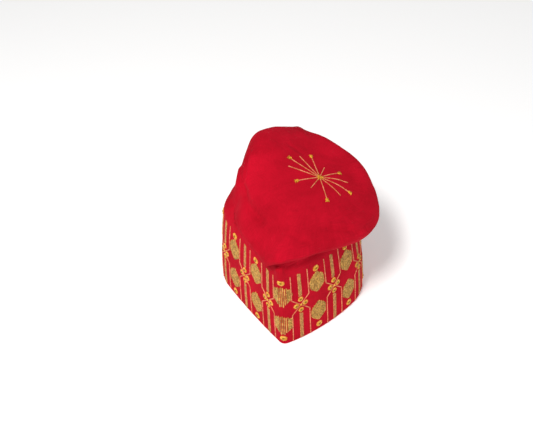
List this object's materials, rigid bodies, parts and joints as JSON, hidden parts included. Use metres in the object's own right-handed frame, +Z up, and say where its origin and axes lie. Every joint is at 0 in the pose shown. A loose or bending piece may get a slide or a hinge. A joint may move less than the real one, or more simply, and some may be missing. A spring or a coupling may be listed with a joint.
{
  "type": "embroidered cloth cap",
  "caption": "Tall soft cap: a stiff gold-embroidered cuff, creased front and back, under a plain soft crown slumped to its right.",
  "frame": {"origin": "middle of the object's box, on the plane that the rim stands on", "axes": "+Z up out of the cap's open rim to the crown; the front crease faces -Y; +X is the side the crown slumps to"},
  "size_m": [0.191, 0.229, 0.1802],
  "materials": {
    "band_cloth": "red cotton over stiff interlining, embroidered in gold thread",
    "crown_cloth": "plain woven red cotton, matt"
  },
  "bodies": {
    "root": {"band": "band_cloth", "crown": "crown_cloth"}
  },
  "joints": []
}
